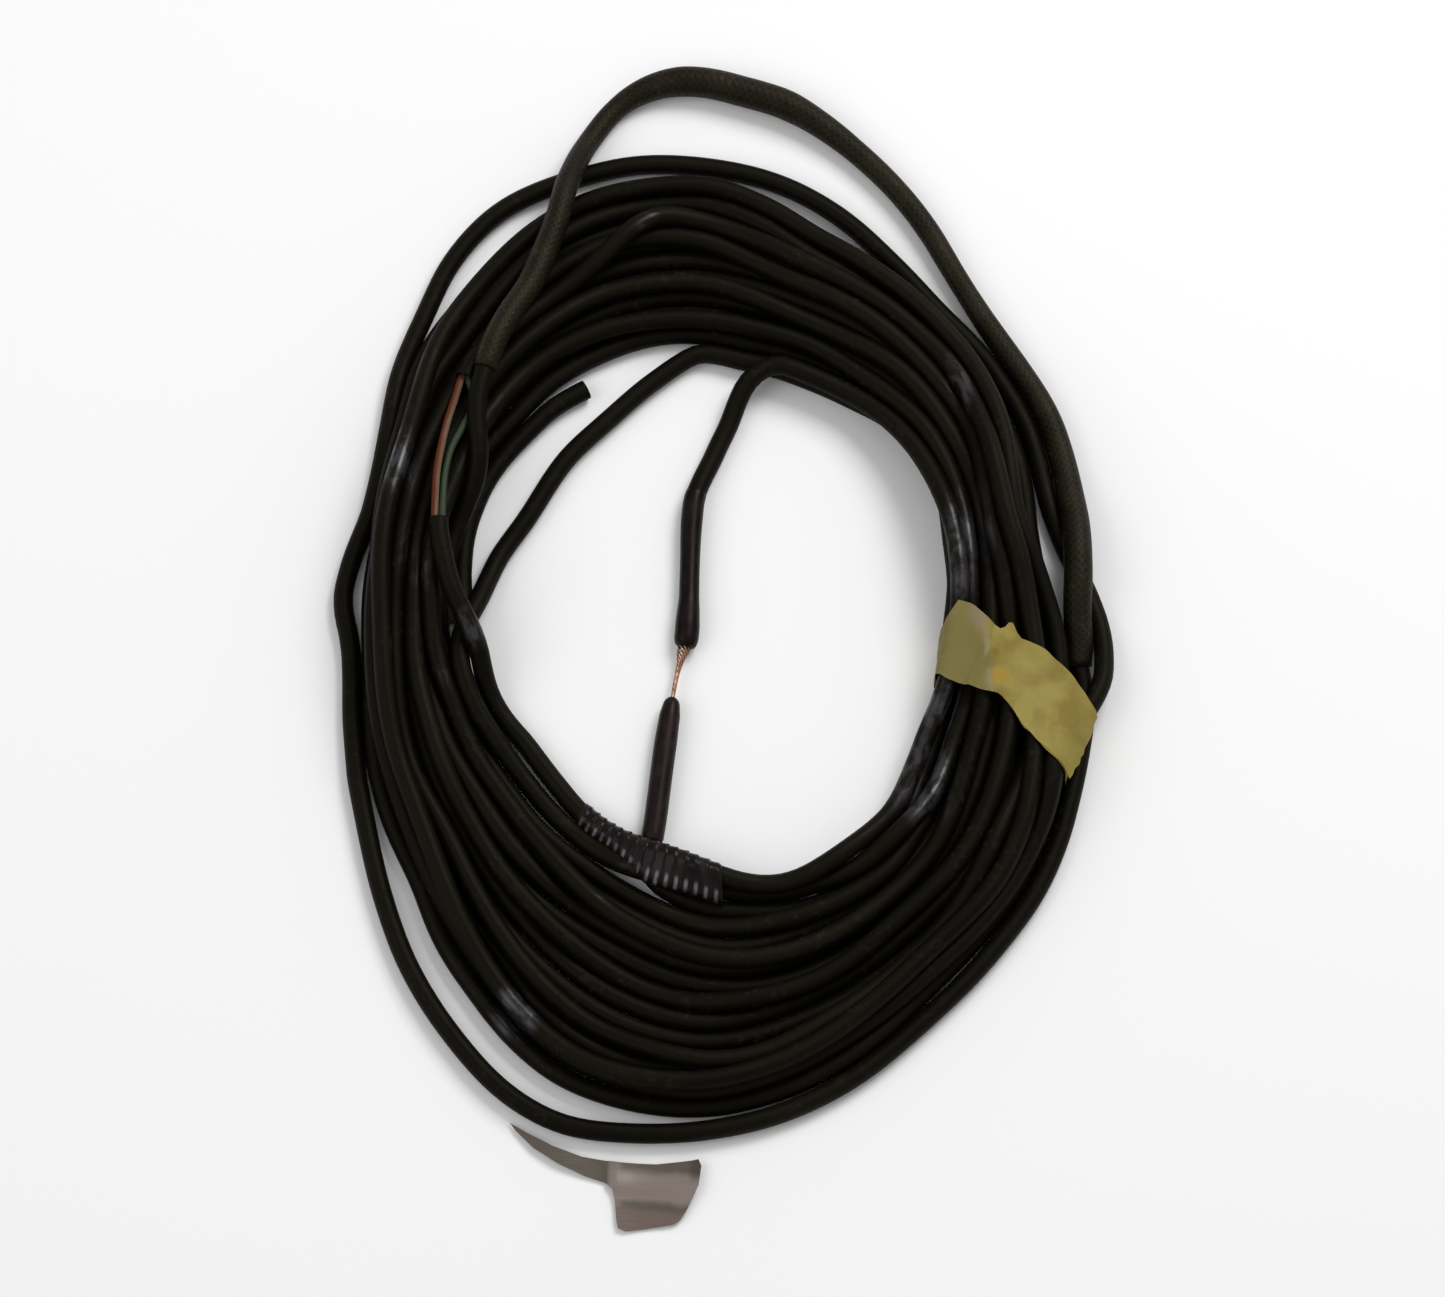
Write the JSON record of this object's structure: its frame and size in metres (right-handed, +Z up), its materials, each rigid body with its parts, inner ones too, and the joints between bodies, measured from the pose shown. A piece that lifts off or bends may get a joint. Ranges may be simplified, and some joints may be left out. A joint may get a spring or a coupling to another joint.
{
  "type": "instrument cable",
  "caption": "Loose oval coil of thin dark cable tied with paper tape, with one sleeved loop, a stripped window showing two cores, and a bare copper splice across the hole.",
  "frame": {"origin": "under the middle of the whole coil's box, on the surface it lies on", "axes": "+Z up, +Y along the oval towards the loose sleeved loop, +X towards the paper tape"},
  "size_m": [0.2339, 0.371, 0.0351],
  "materials": {
    "jacket": "satin, slightly brown black",
    "orange_insulation": "satin",
    "green_insulation": "satin",
    "bare_copper": "dull, handled copper",
    "braided_sleeve": "braided, dark",
    "glossy_tape": "glossy, ribbed",
    "shrink_sleeve": "satin",
    "paper_tape": "matte, creased, slightly stained",
    "grey_tape": "satin with a lighter band"
  },
  "bodies": {
    "root": {"cable_coil": "jacket", "jacket_above_window": "jacket", "stripped_end_upper": "jacket", "stripped_end_lower": "jacket", "orange_core": "orange_insulation", "orange_copper": "bare_copper", "green_core": "green_insulation", "green_copper": "bare_copper", "inner_turn": "jacket", "inner_tape_wrap": "glossy_tape", "upper_splice_sleeve": "shrink_sleeve", "copper_link": "bare_copper", "lower_splice_sleeve": "shrink_sleeve", "lower_lead": "jacket", "loose_loop_cable": "jacket", "loose_loop_sleeve": "braided_sleeve", "tucked_end": "jacket", "masking_tape": "paper_tape", "grey_tape_tag": "grey_tape"}
  },
  "joints": []
}
